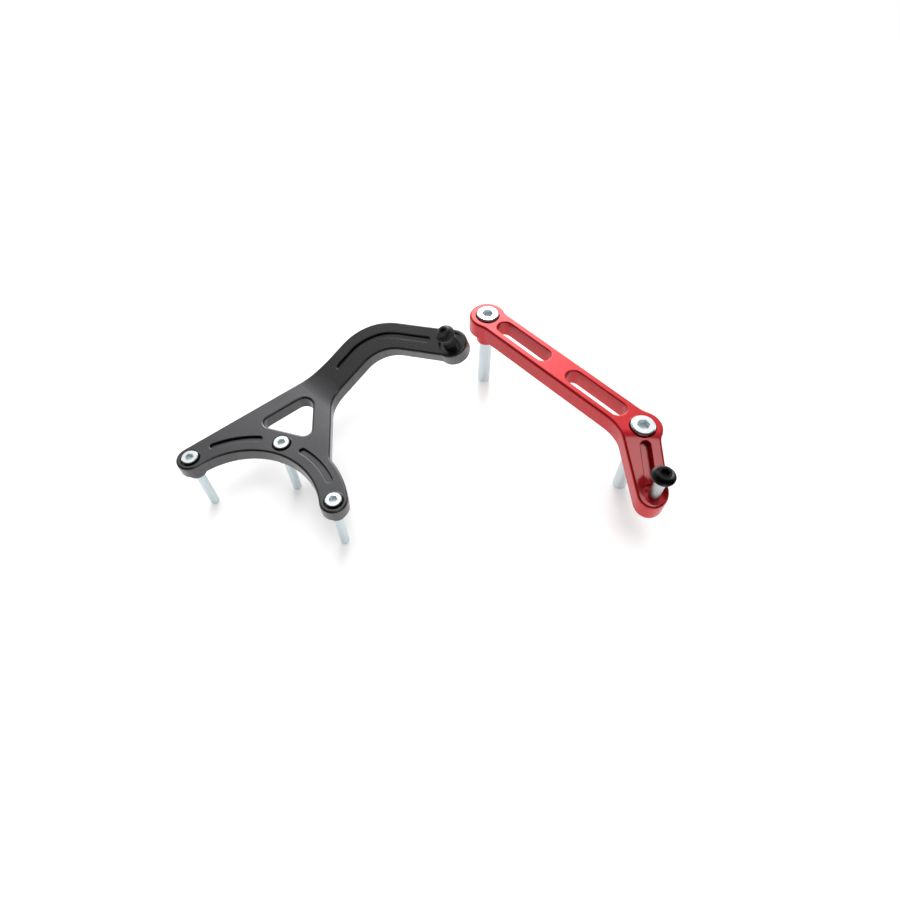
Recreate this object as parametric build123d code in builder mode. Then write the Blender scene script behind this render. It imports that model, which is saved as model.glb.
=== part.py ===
# A pair of machined aluminium brackets with their screws. The curved bracket carries three cap
# screws on an arc and a folded arm with a rubber-mounted screw at its end. The straight link
# carries two larger cap screws and a sloping leg with a panel screw. Each bracket stands on the
# points of its own cap screws, heads up. Millimetres, +Z up, origin on the floor under the middle.

import os
from math import asin, atan, atan2, cos, degrees, radians, sin, tan

from build123d import *

# cover screws, M5 x 40 socket cap
cover_head_r = 4.25
cover_head_h = 5.0
cover_shank_r = 2.5
cover_neck_r = 2.3
cover_length = 40.0
cover_socket = 4.0
cover_proud = 1.0

# frame screws, M8 x 50 socket cap
frame_head_r = 6.5
frame_head_h = 8.0
frame_shank_r = 4.0
frame_neck_r = 3.7
frame_length = 50.0
frame_socket = 6.0
frame_proud = 1.4

# arm screw, M5 x 20 button head, on a steel collar and a rubber ring
arm_head_r = 4.75
arm_head_h = 2.75
arm_shank_r = 2.5
arm_length = 20.0
arm_socket = 3.0
collar_r = 4.4
collar_h = 4.5
spigot_r = 3.4
ring_neck_r = 4.0
ring_neck_h = 4.6
ring_brim_r = 5.3
ring_brim_h = 2.0
ring_round = 0.6

# panel screw, M6 x 30 button head, drawn out of its seat
panel_head_r = 6.1
panel_head_h = 3.6
panel_shank_r = 3.0
panel_length = 30.0
panel_socket = 4.0
panel_lift = 17.6

# fits
running_gap = 0.05
cover_head_gap = 0.8
frame_head_gap = 0.5
edge_r = 1.2
groove_edge_r = 0.5
link_edge_r = 1.4
slot_edge_r = 0.7
back_edge = 0.6
bore_edge = 0.35
neck_drop = 0.3

# curved bracket: the plate on its screw circle
plate_t = 7.5
circle_r = 47.7
circle_mid = 71.7
circle_pitch = 60.0
lobe_r = 7.4
cover_boss_r = 5.0
cover_boss_h = 5.5

# curved bracket: the fold and the arm
fold_reach = 42.83
fold_bearing = 68.96
fold_angle = 46.0
fold_slope = 20.5
fold_r = 38.0
arm_out = 11.0
arm_in = 9.45
arm_turn = 64.3
arm_elbow_x = 42.9
arm_elbow_y = 1.7
arm_reach = 50.1
arm_half = 8.4
arm_end_r = 9.0
arm_outer_r = 32.6
arm_inner_r = 21.0
arm_boss_h = 1.5
arm_hole_back = 0.2
arm_seat_lean = 5.0
arm_spot_r = 6.9
arm_spot_depth = 1.2
shoulder_x = 13.4
shoulder_r = 60.0

# curved bracket: the leg between the fold and the right foot
crotch_x = -1.4
leg_angle = 95.0
leg_w = 10.4
crotch_r = 15.5
knee_r = 5.0

# curved bracket: window and grooves
window_rail = 10.15
window_foot = 7.9
window_foot_tilt = -16.0
window_left_r = 4.0
window_top_r = 5.5
window_right_r = 4.0
groove_w = 3.4
groove_depth = 1.4
groove_clear = 13.5
groove_out = 0.6
arm_groove_start = 14.0
arm_groove_end = 37.4
arm_groove_bend = 26.5

# straight link
link_x = 127.9
link_y = 131.6
link_angle = -47.3
link_t = 10.2
link_pitch = 115.0
link_head_lobe_r = 10.8
link_corner_r = 10.8
link_up = 9.0
link_down_head = 9.3
link_down_corner = 8.6
link_neck_r = 6.0
link_elbow_r = 26.0
frame_boss_r = 5.9
frame_boss_h = 9.8
slot_w = 9.7
slot_a = 15.0
slot_b = 44.5
slot_c = 68.3
slot_d = 98.4

# straight link: the sloping leg
tail_angle = -48.2
tail_slope = 23.0
tail_start = 5.5
tail_left = 11.3
tail_right = 9.0
tail_seat_x = 27.2
tail_seat_y = 6.4
tail_end_x = 26.8
tail_end_y = 5.2
tail_end_r = 8.3
tail_t = 9.8
tail_bend_r = 12.0
tail_spot_r = 6.4
tail_spot_drop = 3.4
tail_slot_w = 5.4
tail_slot_start = 3.2
tail_slot_y = 1.0
tail_slot_end_y = 4.8
tail_slot_depth = 4.5
tail_slot_edge_r = 0.4

os.makedirs("parts", exist_ok=True)

cover_top = cover_length + cover_head_h - cover_proud
link_top = frame_length + frame_head_h - frame_proud


def polar(radius, angle):
    return Vector(radius * cos(radians(angle)), radius * sin(radians(angle)))


def bearing(start, end):
    return degrees(atan2(end.Y - start.Y, end.X - start.X))


def crossing(point_a, angle_a, point_b, angle_b):
    # where two lines in the plane meet, each given by a point and its angle
    gap = Vector(point_b) - Vector(point_a)
    turn = sin(radians(angle_b - angle_a))
    reach = (gap.X * sin(radians(angle_b)) - gap.Y * cos(radians(angle_b))) / turn
    return Vector(point_a) + polar(reach, angle_a)


# both brackets stand so that the middle of the whole pair is over the origin
link_dir = polar(1, link_angle)
angle_1 = circle_mid + circle_pitch
angle_3 = circle_mid - circle_pitch
pair_left = polar(circle_r, angle_1).X - lobe_r
pair_right = link_x + link_pitch * link_dir.X + link_corner_r
pair_front = polar(circle_r, angle_3).Y - lobe_r
pair_back = link_y + link_head_lobe_r
cover_x = -(pair_left + pair_right) / 2
cover_y = -(pair_front + pair_back) / 2

plate = Plane(origin=(cover_x, cover_y, cover_top))
link = Plane(origin=(cover_x + link_x, cover_y + link_y, link_top), x_dir=link_dir, z_dir=(0, 0, 1))
cover_spots = [polar(circle_r, angle_1), polar(circle_r, circle_mid), polar(circle_r, angle_3)]
frame_spots = [Vector(0, 0), Vector(link_pitch, 0)]

# fold frame: x runs across the fold towards the arm, y along the fold line
fold_spot = polar(circle_r + fold_reach, fold_bearing)
fold = Plane(
    origin=plate.from_local_coords((fold_spot.X, fold_spot.Y, 0)),
    x_dir=polar(1, fold_angle),
    z_dir=(0, 0, 1),
)
fold_back = fold_r * tan(radians(fold_slope / 2))
fold_end = fold_back * cos(radians(fold_slope))
rise = Vector(0, 0, sin(radians(fold_slope)))
level = Vector(0, 0, cos(radians(fold_slope)))
arm = Plane(
    origin=fold.origin,
    x_dir=fold.x_dir * level.Z + rise,
    z_dir=level - fold.x_dir * rise.Z,
)
fold_start = Plane(
    origin=fold.from_local_coords((-fold_back, 0, 0)), x_dir=fold.y_dir, z_dir=fold.x_dir
)
fold_axis = Axis(fold.from_local_coords((-fold_back, 0, fold_r)), fold.y_dir)


def on_plate(x, y):
    # a point of the fold frame, given in the plate's own coordinates
    local = plate.to_local_coords(fold.from_local_coords((x, y, 0)))
    return Vector(local.X, local.Y)


screw_arc = CenterArc((0, 0), circle_r, angle_3, 2 * circle_pitch)

# outline of the plate and of the fold, seen from above; the left edge runs straight from the
# round end at the first screw to the shoulder of the arm
shoulder_mark = on_plate(shoulder_x * cos(radians(fold_slope)), arm_out)
left_lean = degrees(asin(lobe_r / (shoulder_mark - cover_spots[0]).length))
left_edge_angle = bearing(cover_spots[0], shoulder_mark) - left_lean
left_foot = cover_spots[0] + polar(lobe_r, left_edge_angle + 90)
left_end = crossing(left_foot, left_edge_angle, on_plate(fold_end, 0), fold_angle + 90)
crotch = on_plate(crotch_x, -arm_in)
leg_foot = crossing(crotch, leg_angle, cover_spots[2], circle_mid + 90 - circle_pitch / 2)

with BuildSketch(plate) as plan:
    with BuildLine():
        Polyline(
            left_foot,
            left_end,
            on_plate(fold_end, -arm_in),
            crotch,
            leg_foot,
            cover_spots[0],
            close=True,
        )
    make_face()
    fillet(plan.vertices().sort_by_distance(crotch)[0], crotch_r)
    SlotArc(screw_arc, 2 * lobe_r)
    Circle(circle_r - lobe_r, mode=Mode.SUBTRACT)
    knee = crossing(crotch, leg_angle, polar(circle_r + lobe_r, 41), 131)
    fillet(plan.vertices().sort_by_distance(knee)[0], knee_r)

# the fold's top skin is the part of the bend cylinder above the outline
with BuildPart() as skin:
    with BuildSketch(fold_start):
        with Locations((0, -plate_t / 2)):
            Rectangle(4 * lobe_r + arm_out + arm_in, plate_t)
    revolve(axis=fold_axis, revolution_arc=-fold_slope)
    extrude(plan.sketch, amount=fold_r, both=True, mode=Mode.INTERSECT)
bends = skin.faces().filter_by(GeomType.CYLINDER)
bend_face = bends.filter_by(lambda face: abs(face.radius - fold_r) < 0.001)[0]

# corners and lines of the arm, in its own tilted plane
elbow = Vector(arm_elbow_x, arm_elbow_y)
arm_dir = polar(1, -arm_turn)
arm_side = polar(1, 90 - arm_turn)
arm_tip = elbow + arm_dir * arm_reach
left_local = fold.to_local_coords(plate.from_local_coords(left_end))
shoulder_start = Vector(fold_back, left_local.Y)
shoulder = Vector(shoulder_x, arm_out)
outer_corner = crossing((0, arm_out), 0, elbow + arm_side * arm_half, -arm_turn)
inner_corner = crossing((0, -arm_in), 0, elbow - arm_side * arm_half, -arm_turn)

with BuildSketch(arm) as arm_plan:
    with BuildLine():
        Polyline(
            shoulder_start,
            shoulder,
            outer_corner,
            arm_tip + arm_side * arm_half,
            arm_tip - arm_side * arm_half,
            inner_corner,
            (fold_back, -arm_in),
            close=True,
        )
    make_face()
    fillet(arm_plan.vertices().sort_by_distance(shoulder)[0], shoulder_r)
    fillet(arm_plan.vertices().sort_by_distance(outer_corner)[0], arm_outer_r)
    fillet(arm_plan.vertices().sort_by_distance(inner_corner)[0], arm_inner_r)
    with Locations(arm_tip):
        Circle(arm_end_r)

arm_hole = arm_tip - arm_dir * arm_hole_back
arm_along = arm.x_dir * arm_dir.X + arm.y_dir * arm_dir.Y
arm_seat = Plane(
    origin=arm.from_local_coords(arm_hole) - arm.z_dir * arm_spot_depth,
    x_dir=arm_along * cos(radians(arm_seat_lean)) + arm.z_dir * sin(radians(arm_seat_lean)),
    z_dir=arm.z_dir * cos(radians(arm_seat_lean)) - arm_along * sin(radians(arm_seat_lean)),
)

# window between the rail, the leg and the middle screw
rail_line = left_foot + polar(window_rail, left_edge_angle - 90)
inner_leg = crotch + polar(leg_w, leg_angle + 90)
foot_line = cover_spots[1] + polar(window_foot, circle_mid)
window_left = crossing(rail_line, left_edge_angle, foot_line, window_foot_tilt)
window_top = crossing(rail_line, left_edge_angle, inner_leg, leg_angle)
window_right = crossing(foot_line, window_foot_tilt, inner_leg, leg_angle)

with BuildSketch(plate) as window:
    with BuildLine():
        Polyline(window_left, window_top, window_right, close=True)
    make_face()
    fillet(window.vertices().sort_by_distance(window_left)[0], window_left_r)
    fillet(window.vertices().sort_by_distance(window_top)[0], window_top_r)
    fillet(window.vertices().sort_by_distance(window_right)[0], window_right_r)

# grooves: one between each two screws, and one that follows the arm round its elbow
groove_end = groove_clear + degrees(groove_w / 2 / circle_r)
groove_r = circle_r + groove_out
groove_span = circle_pitch - 2 * groove_end
groove_arcs = [
    CenterArc((0, 0), groove_r, angle + groove_end, groove_span) for angle in (angle_3, circle_mid)
]
with BuildSketch(plate.offset(-groove_depth)) as plate_grooves:
    for arc in groove_arcs:
        SlotArc(arc, groove_w)
arm_groove_a = Vector(arm_groove_start + groove_w / 2, arm_elbow_y)
arm_groove_b = elbow + arm_dir * (arm_groove_end - groove_w / 2)
with BuildSketch(arm.offset(-groove_depth)) as arm_groove:
    with BuildLine():
        FilletPolyline(arm_groove_a, elbow, arm_groove_b, radius=arm_groove_bend)
    trace(line_width=groove_w)
    with Locations(arm_groove_a, arm_groove_b):
        Circle(groove_w / 2)

with BuildPart() as curved_bracket:
    # flat plate, bend and arm, all of one thickness, with walls square to their faces
    extrude(plan.sketch, amount=-plate_t)
    split(bisect_by=fold_start, keep=Keep.BOTTOM)
    thicken(bend_face, amount=plate_t, normal_override=(0, 0, -1))
    extrude(arm_plan.sketch, amount=-plate_t)
    # rounded upper edge all the way round
    steep = cos(radians(fold_slope + 1))
    upper = curved_bracket.faces().filter_by(lambda face: face.normal_at().Z > steep)
    rim = [edge for edge in upper.edges() if sum(edge in face.edges() for face in upper) == 1]
    fillet(rim, edge_r)
    # boss under the arm's end and under each cover screw
    with BuildSketch(arm.offset(-plate_t)):
        with Locations(arm_tip):
            Circle(arm_end_r)
    extrude(amount=-arm_boss_h)
    with BuildSketch(plate.offset(-plate_t)):
        with Locations(cover_spots):
            Circle(cover_boss_r)
    extrude(amount=-cover_boss_h)
    ends = curved_bracket.faces().group_by(Axis.Z)[0]
    chamfer([edge for face in ends for edge in face.edges()], back_edge)
    # window and grooves, their upper edges rounded as well
    extrude(window.sketch, amount=-plate_t, mode=Mode.SUBTRACT)
    fillet(curved_bracket.edges(Select.LAST).group_by(Axis.Z)[-1], edge_r)
    extrude(plate_grooves.sketch, amount=groove_depth, mode=Mode.SUBTRACT)
    fillet(curved_bracket.edges(Select.LAST).group_by(Axis.Z)[-1], groove_edge_r)
    extrude(arm_groove.sketch, amount=groove_depth, mode=Mode.SUBTRACT)
    arm_level = Axis(arm.origin, arm.z_dir)
    fillet(curved_bracket.edges(Select.LAST).group_by(arm_level)[-1], groove_edge_r)
    with Locations([plate.from_local_coords(spot) for spot in cover_spots]):
        CounterBoreHole(
            cover_shank_r + running_gap,
            cover_head_r + cover_head_gap,
            cover_head_h - cover_proud,
            plate_t + cover_boss_h,
        )
    chamfer(curved_bracket.edges(Select.LAST).group_by(Axis.Z)[-1], bore_edge)
    with BuildSketch(arm_seat):
        Circle(arm_spot_r)
    extrude(amount=arm_spot_r, mode=Mode.SUBTRACT)
    with Locations(arm_seat):
        Hole(spigot_r + running_gap, 2 * plate_t)

curved_bracket.part.label = "curved_bracket"
curved_bracket.part.color = Color(0.09, 0.09, 0.1)
export_step(curved_bracket.part, "parts/curved_bracket.step")


# straight link: lines of the tail, seen from above in the link's own plane
corner = frame_spots[1]
tail_dir = polar(1, tail_angle)
tail_across = polar(1, tail_angle + 90)
tail_top = corner + tail_dir * tail_start
tail_left_end = tail_top - tail_across * tail_left
tail_right_end = tail_top + tail_across * tail_right
tail_seat = tail_top + tail_dir * tail_seat_x + tail_across * tail_seat_y
tail_end = tail_top + tail_dir * tail_end_x + tail_across * tail_end_y
tail_left_lean = degrees(asin(tail_end_r / (tail_end - tail_left_end).length))
tail_right_lean = degrees(asin(tail_end_r / (tail_end - tail_right_end).length))
tail_left_angle = bearing(tail_left_end, tail_end) - tail_left_lean
tail_right_angle = bearing(tail_right_end, tail_end) + tail_right_lean
lower_head = Vector(0, -link_down_head)
lower_angle = degrees(atan((link_down_head - link_down_corner) / link_pitch))
elbow_point = crossing(lower_head, lower_angle, tail_left_end, tail_left_angle)
tail_root = crossing(tail_right_end, tail_right_angle, corner, tail_right_angle + 90)

with BuildSketch(link) as link_plan:
    with BuildLine():
        Polyline(
            (0, link_up),
            (link_pitch, link_up),
            corner,
            tail_root,
            tail_end + polar(tail_end_r, tail_right_angle + 90),
            tail_end + polar(tail_end_r, tail_left_angle - 90),
            elbow_point,
            lower_head,
            close=True,
        )
    make_face()
    Circle(link_head_lobe_r)
    with Locations(corner):
        Circle(link_corner_r)
    with Locations(tail_end):
        Circle(tail_end_r)
    for point, radius in (
        ((link_head_lobe_r, link_up), link_neck_r),
        ((link_up / 2, -link_down_head), 2 * link_neck_r),
        ((link_pitch - link_up, link_up), 2 * link_neck_r),
        (tail_right_end, link_neck_r),
        (elbow_point, link_elbow_r),
    ):
        fillet(link_plan.vertices().sort_by_distance(point)[0], radius)

# side view of the link, along the slope of its tail
heading = link.x_dir * tail_dir.X + link.y_dir * tail_dir.Y
side = Plane(
    origin=link.from_local_coords(tail_top), x_dir=heading, z_dir=heading.cross(Vector(0, 0, 1))
)
fall = tan(radians(tail_slope))
far = 2 * tail_seat_x
under_bend = (link_t - tail_t) / fall
with BuildSketch(side) as link_side:
    with BuildLine():
        Polyline(
            (-2 * link_pitch, 0),
            (0, 0),
            (far, -far * fall),
            (far, -far * fall - tail_t),
            (under_bend, -link_t),
            (-2 * link_pitch, -link_t),
            close=True,
        )
    make_face()
    fillet(link_side.vertices().sort_by_distance((0, 0))[0], tail_bend_r)
    fillet(link_side.vertices().sort_by_distance((under_bend, -link_t))[0], tail_bend_r)

tail = Plane(
    origin=side.origin,
    x_dir=heading * cos(radians(tail_slope)) - Vector(0, 0, sin(radians(tail_slope))),
    z_dir=heading * sin(radians(tail_slope)) + Vector(0, 0, cos(radians(tail_slope))),
)
tail_slot_a = Vector(tail_slot_start + tail_slot_w / 2, tail_slot_y)
tail_slot_b = Vector(tail_seat_x / cos(radians(tail_slope)), tail_slot_end_y)
seat_spot = Plane(link.from_local_coords(tail_seat)).offset(-tail_seat_x * fall - tail_spot_drop)

with BuildPart() as straight_link:
    extrude(link_plan.sketch, amount=-2 * link_top)
    extrude(link_side.sketch, amount=2 * link_pitch, both=True, mode=Mode.INTERSECT)
    # rounded upper edge all the way round
    steep = cos(radians(tail_slope + 1))
    upper = straight_link.faces().filter_by(lambda face: face.normal_at().Z > steep)
    rim = [edge for edge in upper.edges() if sum(edge in face.edges() for face in upper) == 1]
    fillet(rim, link_edge_r)
    with BuildSketch(link.offset(-link_t)):
        with Locations(frame_spots):
            Circle(frame_boss_r)
    extrude(amount=-frame_boss_h)
    ends = straight_link.faces().group_by(Axis.Z)[0]
    chamfer([edge for face in ends for edge in face.edges()], back_edge)
    # two through slots along the bar
    with BuildSketch(link):
        for start, end in ((slot_a, slot_b), (slot_c, slot_d)):
            with Locations(((start + end) / 2, 0)):
                SlotCenterToCenter(end - start, slot_w)
    extrude(amount=-link_t, mode=Mode.SUBTRACT)
    fillet(straight_link.edges(Select.LAST).group_by(Axis.Z)[-1], slot_edge_r)
    # blind slot down the tail, and the level seat of the panel screw at its end
    with BuildSketch(tail.offset(-tail_slot_depth)):
        with BuildLine():
            Line(tail_slot_a, tail_slot_b)
        trace(line_width=tail_slot_w)
        with Locations(tail_slot_a):
            Circle(tail_slot_w / 2)
    extrude(amount=tail_slot_depth, mode=Mode.SUBTRACT)
    tail_level = Axis(tail.origin, tail.z_dir)
    fillet(straight_link.edges(Select.LAST).group_by(tail_level)[-1], tail_slot_edge_r)
    with BuildSketch(seat_spot):
        Circle(tail_spot_r)
    extrude(amount=tail_spot_drop + tail_spot_r, mode=Mode.SUBTRACT)
    with Locations(seat_spot):
        Hole(panel_shank_r + running_gap, link_t)
    with Locations([link.from_local_coords(spot) for spot in frame_spots]):
        CounterBoreHole(
            frame_shank_r + running_gap,
            frame_head_r + frame_head_gap,
            frame_head_h - frame_proud,
            link_t + frame_boss_h,
        )
    chamfer(straight_link.edges(Select.LAST).group_by(Axis.Z)[-1], bore_edge)

straight_link.part.label = "straight_link"
straight_link.part.color = Color(0.85, 0.12, 0.14)
export_step(straight_link.part, "parts/straight_link.step")


def half_plane(seat):
    # half section of a turned piece: x is the radius, y the height above the seat
    return Plane(seat.origin, x_dir=seat.x_dir, z_dir=-seat.y_dir)


def cap_screw(label, seat, head_r, head_h, shank_r, length, socket, neck_r, neck_length):
    # socket head cap screw on a rolled thread, its head's underside on the seat plane
    tip = 0.3 * shank_r
    with BuildPart() as screw:
        with BuildSketch(half_plane(seat)):
            with BuildLine():
                Polyline(
                    (0, -length),
                    (shank_r - tip, -length),
                    (shank_r, tip - length),
                    (shank_r, -neck_length),
                    (neck_r, -neck_length),
                    (neck_r, 0),
                    (head_r, 0),
                    (head_r, head_h - tip / 2),
                    (head_r - tip / 2, head_h),
                    (0, head_h),
                    close=True,
                )
            make_face()
        revolve(axis=Axis(seat.origin, seat.z_dir))
        with BuildSketch(seat.offset(head_h)):
            RegularPolygon(socket / 2, 6, major_radius=False)
        extrude(amount=-0.35 * head_h, mode=Mode.SUBTRACT)
    screw.part.label = label
    screw.part.color = Color(0.8, 0.82, 0.84)
    export_step(screw.part, f"parts/{label}.step")


def button_screw(label, seat, head_r, head_h, shank_r, length, socket):
    # domed button head screw with a thin straight rim
    tip = 0.3 * shank_r
    rim_h = 0.2 * head_h
    crown_r = 0.55 * head_r
    with BuildPart() as screw:
        with BuildSketch(half_plane(seat)):
            with BuildLine():
                Polyline(
                    (crown_r, head_h),
                    (0, head_h),
                    (0, -length),
                    (shank_r - tip, -length),
                    (shank_r, tip - length),
                    (shank_r, 0),
                    (head_r, 0),
                    (head_r, rim_h),
                )
                SagittaArc((head_r, rim_h), (crown_r, head_h), 0.08 * head_r)
            make_face()
        revolve(axis=Axis(seat.origin, seat.z_dir))
        with BuildSketch(seat.offset(head_h)):
            RegularPolygon(socket / 2, 6, major_radius=False)
        extrude(amount=-head_h / 2, mode=Mode.SUBTRACT)
    screw.part.label = label
    screw.part.color = Color(0.05, 0.05, 0.05)
    export_step(screw.part, f"parts/{label}.step")


for number, spot in enumerate(cover_spots, start=1):
    cap_screw(
        f"cover_screw_{number}",
        Plane(plate.from_local_coords((spot.X, spot.Y, cover_proud - cover_head_h))),
        cover_head_r,
        cover_head_h,
        cover_shank_r,
        cover_length,
        cover_socket,
        cover_neck_r,
        plate_t + cover_boss_h + cover_proud - cover_head_h + neck_drop,
    )
for number, spot in enumerate(frame_spots, start=1):
    cap_screw(
        f"frame_screw_{number}",
        Plane(link.from_local_coords((spot.X, spot.Y, frame_proud - frame_head_h))),
        frame_head_r,
        frame_head_h,
        frame_shank_r,
        frame_length,
        frame_socket,
        frame_neck_r,
        link_t + frame_boss_h + frame_proud - frame_head_h + neck_drop,
    )
button_screw(
    "panel_screw",
    seat_spot.offset(panel_lift),
    panel_head_r,
    panel_head_h,
    panel_shank_r,
    panel_length,
    panel_socket,
)

# at the arm's end: steel collar in the spot face, grooved rubber ring on it, screw through both
ring_seat = arm_seat.offset(collar_h)
spigot_h = plate_t - arm_spot_depth
ring_h = ring_neck_h + ring_brim_h
sleeve_bore = arm_shank_r + running_gap
with BuildPart() as arm_collar:
    with BuildSketch(arm_seat):
        Circle(collar_r)
        Circle(sleeve_bore, mode=Mode.SUBTRACT)
    extrude(amount=collar_h)
    with BuildSketch(arm_seat):
        Circle(spigot_r)
        Circle(sleeve_bore, mode=Mode.SUBTRACT)
    extrude(amount=-spigot_h)
arm_collar.part.label = "arm_collar"
arm_collar.part.color = Color(0.8, 0.8, 0.8)
export_step(arm_collar.part, "parts/arm_collar.step")

with BuildPart() as arm_ring:
    with BuildSketch(half_plane(ring_seat)) as brim:
        with BuildLine():
            Polyline(
                (sleeve_bore, 0),
                (ring_neck_r, 0),
                (ring_neck_r, ring_neck_h),
                (ring_brim_r, ring_neck_h),
                (ring_brim_r, ring_h),
                (sleeve_bore, ring_h),
                close=True,
            )
        make_face()
        fillet(brim.vertices().group_by(Axis.X)[-1], ring_round)
    revolve(axis=Axis(ring_seat.origin, ring_seat.z_dir))
arm_ring.part.label = "arm_ring"
arm_ring.part.color = Color(0.03, 0.03, 0.03)
export_step(arm_ring.part, "parts/arm_ring.step")

button_screw(
    "arm_screw",
    ring_seat.offset(ring_h),
    arm_head_r,
    arm_head_h,
    arm_shank_r,
    arm_length,
    arm_socket,
)
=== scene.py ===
from math import cos, pi, radians, sin

import bpy
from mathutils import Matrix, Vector


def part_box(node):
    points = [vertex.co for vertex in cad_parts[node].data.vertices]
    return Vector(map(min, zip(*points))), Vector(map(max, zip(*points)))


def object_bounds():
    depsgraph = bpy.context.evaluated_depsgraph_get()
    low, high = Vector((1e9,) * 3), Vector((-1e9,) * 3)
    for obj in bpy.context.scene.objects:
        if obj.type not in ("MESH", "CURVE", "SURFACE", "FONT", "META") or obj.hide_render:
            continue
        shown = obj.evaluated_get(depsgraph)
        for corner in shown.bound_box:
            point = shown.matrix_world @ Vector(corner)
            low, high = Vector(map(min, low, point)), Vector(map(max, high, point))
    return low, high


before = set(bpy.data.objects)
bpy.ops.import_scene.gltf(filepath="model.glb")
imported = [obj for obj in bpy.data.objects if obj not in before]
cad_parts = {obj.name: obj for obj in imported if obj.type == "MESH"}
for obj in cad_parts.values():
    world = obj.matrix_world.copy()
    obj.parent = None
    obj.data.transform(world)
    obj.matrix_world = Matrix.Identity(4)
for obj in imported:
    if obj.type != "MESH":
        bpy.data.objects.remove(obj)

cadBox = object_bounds()
mm = 0.001
print("frame loaded:", len(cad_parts), "nodes")


class Wire:
    # one socket of a node tree; sums written on it add Math nodes
    def __init__(self, tree, socket=None):
        self.tree = tree
        self.socket = socket

    def node(self, kind, settings=None, sockets=None, output=0):
        made = self.tree.nodes.new(kind)
        for name, value in (settings or {}).items():
            if name == "stops":
                ramp = made.color_ramp.elements
                while len(ramp) < len(value):
                    ramp.new(0.5)
                for element, (place, shade) in zip(ramp, value):
                    element.position = place
                    element.color = (shade, shade, shade, 1) if isinstance(shade, float) else (*shade, 1)
            else:
                setattr(made, name, value)
        for key, value in (sockets or {}).items():
            if isinstance(value, Wire):
                self.tree.links.new(value.socket, made.inputs[key])
            else:
                made.inputs[key].default_value = value
        return Wire(self.tree, made.outputs[output] if len(made.outputs) else None)

    def math(self, operation, first, second=0.0):
        return self.node("ShaderNodeMath", {"operation": operation}, {0: first, 1: second})

    def __add__(self, other):
        return self.math("ADD", self, other)

    def __sub__(self, other):
        return self.math("SUBTRACT", self, other)

    def __rsub__(self, other):
        return self.math("SUBTRACT", other, self)

    def __mul__(self, other):
        return self.math("MULTIPLY", self, other)

    def __truediv__(self, other):
        return self.math("DIVIDE", self, other)

    def __pow__(self, other):
        return self.math("POWER", self, other)

    __radd__ = __add__
    __rmul__ = __mul__


def rgba(colour):
    return (*colour, 1)


def newFinish(name, build):
    # a material whose surface comes from build(wire)
    material = bpy.data.materials.new(name)
    material.use_nodes = True
    material.node_tree.nodes.clear()
    start = Wire(material.node_tree)
    start.node("ShaderNodeOutputMaterial", sockets={"Surface": build(start)})
    return material


def dress(material, *nodes):
    for name in nodes:
        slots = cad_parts[name].data.materials
        slots.clear()
        slots.append(material)


def mixColour(wire, factor, first, second):
    return wire.node("ShaderNodeMix", {"data_type": "RGBA"}, {0: factor, 6: first, 7: second}, 2)


def noise(wire, place, scale, detail=2.0, roughness=0.5):
    sockets = {"Vector": place, "Scale": scale, "Detail": detail, "Roughness": roughness}
    return wire.node("ShaderNodeTexNoise", sockets=sockets)


def smoothStep(wire, value, low, high):
    # 0 below low, 1 above high, eased between
    settings = {"interpolation_type": "SMOOTHSTEP"}
    return wire.node("ShaderNodeMapRange", settings, {"Value": value, "From Min": low, "From Max": high})


def bump(wire, height):
    # height is in metres
    return wire.node("ShaderNodeBump", sockets={"Height": height, "Distance": 1.0, "Strength": 1.0})


# anodised aluminium: a satin metal skin with fine blasted grain, milling marks that run down
# the walls, and slow changes of tone where the dye took a little more or less
anodisedLook = {
    "specular": 0.5,
    "coatDensity": 1.5,
    "coatRoughness": 0.15,
    "wallFrom": 0.35,
    "wallTo": 0.75,
    "toneFrom": 0.35,
    "toneTo": 0.65,
    "cloudScale": 22.0,
    "cloudDetail": 3.0,
    "grainScale": 2600.0,
    "grainDetail": 2.0,
    "grainRoughness": 0.6,
    "grainRough": 0.06,
    "grainHeight": 0.000012,
    "markScale": 420.0,
    "markDetail": 2.0,
    "markRoughness": 0.7,
    "markDrop": 0.02,
    "markHeight": 0.000012,
    "markRough": 0.08,
    "streakFrom": 0.3,
    "streakTo": 0.7,
}


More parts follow.
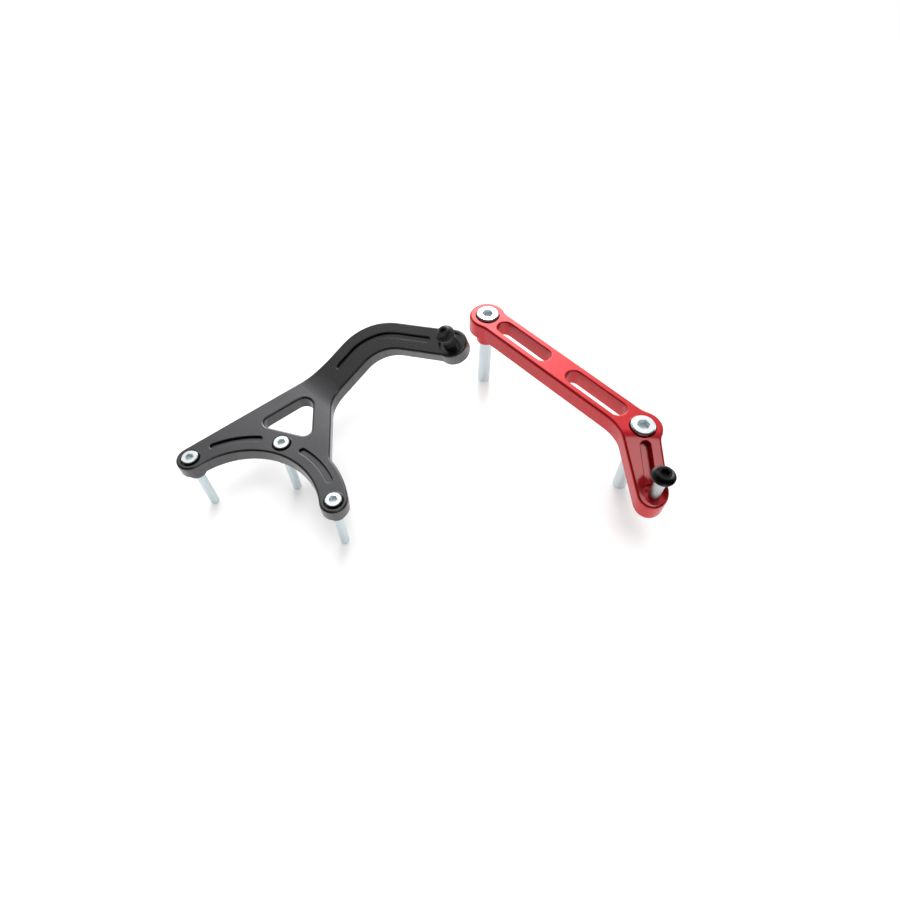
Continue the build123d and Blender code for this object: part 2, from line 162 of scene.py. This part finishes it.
def anodised(name, look):
    def build(wire):
        place = wire.node("ShaderNodeTexCoord", output="Object")
        facing = wire.node("ShaderNodeNewGeometry", output="Normal")
        up = wire.node("ShaderNodeSeparateXYZ", sockets={0: facing}, output="Z")
        wall = 1 - smoothStep(wire, wire.math("ABSOLUTE", up), look["wallFrom"], look["wallTo"])
        cloud = noise(wire, place, look["cloudScale"], look["cloudDetail"])
        grain = noise(wire, place, look["grainScale"], look["grainDetail"], look["grainRoughness"])
        # milling marks are nearly the same all the way down a wall
        flat = wire.node(
            "ShaderNodeVectorMath",
            {"operation": "MULTIPLY"},
            {0: place, 1: (1, 1, look["markDrop"])},
        )
        marks = noise(wire, flat, look["markScale"], look["markDetail"], look["markRoughness"])
        tone = smoothStep(wire, cloud, look["toneFrom"], look["toneTo"])
        colour = mixColour(wire, tone, rgba(look["deep"]), rgba(look["pale"]))
        streak = smoothStep(wire, marks, look["streakFrom"], look["streakTo"]) * wall
        colour = mixColour(wire, streak * look["streak"], colour, rgba(look["streakColour"]))
        rough = look["roughness"] + (cloud - 0.5) * look["roughSpread"] + (grain - 0.5) * look["grainRough"]
        rough = rough + wall * ((marks - 0.5) * look["markRough"] + look["wallRough"])
        height = grain * look["grainHeight"] + marks * wall * look["markHeight"]
        return wire.node(
            "ShaderNodeBsdfPrincipled",
            sockets={
                "Base Color": colour,
                "Metallic": look["metallic"],
                "Roughness": rough,
                "Specular IOR Level": look["specular"],
                "Coat Weight": look["coat"],
                "Coat Roughness": look["coatRoughness"],
                "Coat IOR": look["coatDensity"],
                "Normal": bump(wire, height),
            },
        )

    return newFinish(name, build)


curvedBracketLook = dict(
    anodisedLook,
    deep=(0.078, 0.078, 0.081),
    pale=(0.093, 0.093, 0.097),
    metallic=1.0,
    roughness=0.28,
    roughSpread=0.07,
    wallRough=0.04,
    coat=0.3,
    streak=0.2,
    streakColour=(0.17, 0.17, 0.175),
)
blackAnodised = anodised("blackAnodised", curvedBracketLook)
dress(blackAnodised, "curved_bracket")
print("curved bracket dressed")

straightLinkLook = dict(
    anodisedLook,
    deep=(0.54, 0.004, 0.010),
    pale=(0.61, 0.006, 0.014),
    metallic=0.88,
    roughness=0.5,
    roughSpread=0.08,
    wallRough=0.03,
    coat=0.68,
    coatRoughness=0.16,
    coatDensity=1.58,
    streak=0.15,
    streakColour=(0.72, 0.05, 0.06),
)
redAnodised = anodised("redAnodised", straightLinkLook)
dress(redAnodised, "straight_link")
print("straight link dressed")


# turned and plated screws that stand upright: turning rings on the head, a fine thread below whose roots are
# painted darker and crests painted lighter, painted shade and highlight that follow the thread's bump
def upright(name, node, look):
    low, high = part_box(node)
    middle = (low + high) / 2
    shoulder = high.z - look["headHeight"]

    def build(wire):
        place = wire.node("ShaderNodeTexCoord", output="Object")
        about = wire.node(
            "ShaderNodeVectorMath",
            {"operation": "SUBTRACT"},
            {0: place, 1: (middle.x, middle.y, shoulder)},
        )
        x, y, z = (wire.node("ShaderNodeSeparateXYZ", sockets={0: about}, output=axis) for axis in "XYZ")
        radius = (x * x + y * y) ** 0.5
        turn = wire.math("ARCTAN2", y, x)
        head = smoothStep(wire, z, -look["headBlend"], look["headBlend"])
        cloud = noise(wire, place, look["cloudScale"], look["cloudDetail"])
        grain = noise(wire, place, look["grainScale"], look["grainDetail"], look["grainRoughness"])
        thread = wire.math("SINE", z * (2 * pi / look["pitch"]) - turn) * 0.5 + 0.5
        rings = wire.math("SINE", radius * (2 * pi / look["ringPitch"])) * 0.5 + 0.5
        headColour = mixColour(wire, cloud, rgba(look["headDeep"]), rgba(look["headPale"]))
        # painted shade and highlight: the shank is darker in the thread's roots and lighter on its crests,
        # in step with the thread bump
        shankPaintedThreadShade = mixColour(wire, thread, rgba(look["shankPaintedRootShade"]), rgba(look["shankPaintedCrestLight"]))
        colour = mixColour(wire, head, shankPaintedThreadShade, headColour)
        # the pressed hex recess is rougher than the turned face around it; its colour is painted, a pale
        # painted reflection on the zinc heads and darker painted shade on the black head
        face = look["headHeight"]
        sunk = 1 - smoothStep(wire, z, face - look["socketBlend"], face - look["socketEdge"])
        within = 1 - smoothStep(wire, radius, look["socketReach"], look["socketReach"] + look["socketBlend"])
        sunk = sunk * head * within
        colour = mixColour(wire, sunk, colour, rgba(look["socket"]))
        rough = look["roughness"] + (cloud - 0.5) * look["roughSpread"] + (1 - head) * look["shankRough"]
        rough = rough + sunk * look["socketRough"]
        height = grain * look["grainHeight"] + rings * head * look["ringHeight"]
        height = height + thread * (1 - head) * look["threadHeight"]
        return wire.node(
            "ShaderNodeBsdfPrincipled",
            sockets={
                "Base Color": colour,
                "Metallic": 1.0,
                "Roughness": rough,
                "Normal": bump(wire, height),
            },
        )

    dress(newFinish(name, build), node)


coverScrewLook = {
    "headHeight": 5.0 * mm,
    "headBlend": 0.2 * mm,
    "pitch": 0.8 * mm,
    "ringPitch": 0.35 * mm,
    "headDeep": (0.88, 0.96, 0.97),
    "headPale": (0.96, 0.99, 0.99),
    # shank colours at the thread's roots and crests: painted shade and painted highlight
    "shankPaintedRootShade": (0.58, 0.66, 0.69),
    "shankPaintedCrestLight": (0.66, 0.73, 0.76),
    # hex recess colour on the zinc heads: a pale painted reflection
    "socket": (0.90, 0.98, 1.0),
    "socketReach": 2.4 * mm,
    "socketEdge": 0.05 * mm,
    "socketBlend": 0.3 * mm,
    "socketRough": 0.3,
    "roughness": 0.24,
    "roughSpread": 0.1,
    "shankRough": 0.16,
    "cloudScale": 160.0,
    "cloudDetail": 3.0,
    "grainScale": 2400.0,
    "grainDetail": 2.0,
    "grainRoughness": 0.6,
    "grainHeight": 0.000006,
    "ringHeight": 0.000004,
    "threadHeight": 0.00002,
}
for number in (1, 2, 3):
    upright(f"zincCover{number}", f"cover_screw_{number}", coverScrewLook)
frameScrewLook = dict(
    coverScrewLook,
    headHeight=8.0 * mm,
    pitch=1.25 * mm,
    socketReach=3.6 * mm,
    threadHeight=0.00003,
)
for number in (1, 2):
    upright(f"zincFrame{number}", f"frame_screw_{number}", frameScrewLook)

panelScrewLook = dict(
    coverScrewLook,
    headHeight=3.6 * mm,
    pitch=1.0 * mm,
    headDeep=(0.018, 0.018, 0.02),
    headPale=(0.03, 0.03, 0.032),
    # shank colours at the thread's roots and crests: painted shade and painted highlight
    shankPaintedRootShade=(0.52, 0.56, 0.57),
    shankPaintedCrestLight=(0.62, 0.66, 0.67),
    # hex recess colour on the black head: darker painted shade
    socket=(0.014, 0.014, 0.015),
    roughness=0.28,
)
upright("oxidePanel", "panel_screw", panelScrewLook)
print("upright screws dressed")


# plain pieces at the arm's end
def plainFinish(name, look, *nodes):
    def build(wire):
        place = wire.node("ShaderNodeTexCoord", output="Object")
        cloud = noise(wire, place, look["cloudScale"], look["cloudDetail"])
        grain = noise(wire, place, look["grainScale"], look["grainDetail"], look["grainRoughness"])
        colour = mixColour(wire, cloud, rgba(look["deep"]), rgba(look["pale"]))
        rough = look["roughness"] + (cloud - 0.5) * look["roughSpread"]
        return wire.node(
            "ShaderNodeBsdfPrincipled",
            sockets={
                "Base Color": colour,
                "Metallic": look["metallic"],
                "Roughness": rough,
                "Normal": bump(wire, grain * look["grainHeight"]),
            },
        )

    dress(newFinish(name, build), *nodes)


armRingLook = {
    "deep": (0.012, 0.012, 0.013),
    "pale": (0.022, 0.022, 0.023),
    "metallic": 0.0,
    "roughness": 0.42,
    "roughSpread": 0.12,
    "cloudScale": 300.0,
    "cloudDetail": 3.0,
    "grainScale": 3000.0,
    "grainDetail": 2.0,
    "grainRoughness": 0.6,
    "grainHeight": 0.00001,
}
plainFinish("rubber", armRingLook, "arm_ring")
armCollarLook = dict(
    armRingLook,
    deep=(0.24, 0.23, 0.24),
    pale=(0.32, 0.31, 0.32),
    metallic=1.0,
    roughness=0.3,
)
plainFinish("collarSteel", armCollarLook, "arm_collar")
armScrewLook = dict(armRingLook, deep=(0.02, 0.02, 0.021), pale=(0.035, 0.035, 0.036), metallic=0.6)
plainFinish("blackOxide", armScrewLook, "arm_screw")
print("arm end dressed")

# floor: pale, keeps the shadows, and reads as white to the camera and in the metal
floorLook = {
    "half": 4.0,
    "drop": 0.02 * mm,
    "colour": (0.80, 0.80, 0.80),
    "lift": 0.37,
    "sheen": 0.05,
    "sheenRoughness": 0.16,
    "clearFrom": 0.35,
    "clearTo": 1.0,
    "clearLight": 1.0,
}


def floorSurface(wire):
    # 1 where a ray shows the floor itself, 0 where the floor only lights something else
    seen = wire.node("ShaderNodeLightPath", output="Is Camera Ray")
    for kind in ("Is Glossy Ray", "Is Transmission Ray"):
        seen = wire.math("MAXIMUM", seen, wire.node("ShaderNodeLightPath", output=kind))
    matt = wire.node("ShaderNodeBsdfDiffuse", sockets={"Color": rgba(floorLook["colour"])})
    gloss = wire.node(
        "ShaderNodeBsdfAnisotropic",
        sockets={"Color": (1, 1, 1, 1), "Roughness": floorLook["sheenRoughness"]},
    )
    paper = wire.node("ShaderNodeMixShader", sockets={0: floorLook["sheen"], 1: matt, 2: gloss})
    glow = wire.node("ShaderNodeEmission", sockets={"Strength": floorLook["lift"]})
    lit = wire.node("ShaderNodeAddShader", sockets={0: paper, 1: glow})
    # the floor clears to the backdrop's white away from the middle
    place = wire.node("ShaderNodeTexCoord", output="Object")
    away = wire.node("ShaderNodeVectorMath", {"operation": "LENGTH"}, {0: place}, "Value")
    clear = smoothStep(wire, away, floorLook["clearFrom"], floorLook["clearTo"])
    white = wire.node("ShaderNodeEmission", sockets={"Strength": floorLook["clearLight"]})
    lit = wire.node("ShaderNodeMixShader", sockets={0: clear, 1: lit, 2: white})
    return wire.node("ShaderNodeMixShader", sockets={0: seen, 1: paper, 2: lit})


half = floorLook["half"]
floorMesh = bpy.data.meshes.new("floor")
corners = [(-half, -half, 0), (half, -half, 0), (half, half, 0), (-half, half, 0)]
floorMesh.from_pydata(corners, [], [(0, 1, 2, 3)])
floor = bpy.data.objects.new("floor", floorMesh)
bpy.context.scene.collection.objects.link(floor)
floor.location.z = cadBox[0].z - floorLook["drop"]
floorMesh.materials.append(newFinish("palePaper", floorSurface))
print("floor laid")

# studio, as the metal sees it: a bright soft lamp behind the brackets with a wide halo, a faint
# one high on the left, one low behind, a small one overhead, a dark front, and a white band near
# the horizon that the floor runs into
studioLook = {
    "front": 0.05,
    "back": 0.30,
    "backFrom": 0.02,
    "backTo": 0.32,
    "lamps": (
        # turn to the right, rise, strength, sharpness
        (1.0, 39.0, 4.8, 50.0),
        (-6.0, 36.0, 0.8, 8.0),
        (-52.0, 59.0, 0.24, 9.0),
        (0.0, 16.0, 5.5, 20.0),
        (131.0, 71.5, 5.0, 90.0),
    ),
    "bandBottom": 0.04,
    "bandTop": 0.26,
    "bandLight": 1.0,
}


def heading(turn, rise):
    # a direction from its turn to the right of straight back and its rise, in degrees
    turn, rise = radians(turn), radians(rise)
    return (sin(turn) * cos(rise), cos(turn) * cos(rise), sin(rise))


def studioGlow(wire, ray, direction, sharp):
    towards = wire.node(
        "ShaderNodeVectorMath",
        {"operation": "DOT_PRODUCT"},
        {0: ray, 1: tuple(Vector(direction).normalized())},
        "Value",
    )
    return wire.math("MAXIMUM", towards, 0.0) ** sharp


world = bpy.data.worlds.new("studio")
world.use_nodes = True
world.node_tree.nodes.clear()
bpy.context.scene.world = world
sky = Wire(world.node_tree)
ray = sky.node("ShaderNodeTexCoord", output="Generated")
height = sky.node("ShaderNodeSeparateXYZ", sockets={0: ray}, output="Z")
depth = sky.node("ShaderNodeSeparateXYZ", sockets={0: ray}, output="Y")
band = 1 - smoothStep(sky, height, studioLook["bandBottom"], studioLook["bandTop"])
behind = smoothStep(sky, depth, studioLook["backFrom"], studioLook["backTo"])
light = behind * (studioLook["back"] - studioLook["front"]) + studioLook["front"]
for turn, rise, strength, sharp in studioLook["lamps"]:
    light = light + studioGlow(sky, ray, heading(turn, rise), sharp) * strength
light = light + band * behind * studioLook["bandLight"]
# the backdrop itself is white
seen = sky.node("ShaderNodeLightPath", output="Is Camera Ray")
light = light * (1 - seen) + seen
background = sky.node("ShaderNodeBackground", sockets={"Color": (1, 1, 1, 1), "Strength": light})
sky.node("ShaderNodeOutputWorld", sockets={"Surface": background})

# a soft key overhead, flagged out of the reflections
keyLamp = {"turn": -90.0, "rise": 88.0, "distance": 1.6, "size": 0.9, "radiance": 5.0}


def softBox(name, look):
    towards = Vector(heading(look["turn"], look["rise"]))
    lamp = bpy.data.lights.new(name, "AREA")
    lamp.size = look["size"]
    lamp.energy = look["radiance"] * pi * look["size"] ** 2
    box = bpy.data.objects.new(name, lamp)
    box.location = towards * look["distance"]
    box.rotation_euler = towards.to_track_quat("Z", "Y").to_euler()
    box.visible_glossy = False
    bpy.context.scene.collection.objects.link(box)


softBox("keyLamp", keyLamp)
print("studio lit")

# camera
eye = {
    "place": (0.016522, -0.222938, 0.31068),
    "pitch": 54.35,
    "lens": 24.69,
    "sensor": 36.0,
    "near": 0.01,
    "far": 50.0,
}
cameraData = bpy.data.cameras.new("camera")
cameraData.lens = eye["lens"]
cameraData.sensor_width = eye["sensor"]
cameraData.clip_start = eye["near"]
cameraData.clip_end = eye["far"]
camera = bpy.data.objects.new("camera", cameraData)
camera.location = eye["place"]
camera.rotation_euler = (radians(90 - eye["pitch"]), 0, 0)
bpy.context.scene.collection.objects.link(camera)
bpy.context.scene.camera = camera
bpy.context.scene.view_settings.view_transform = "Standard"
print("camera placed")
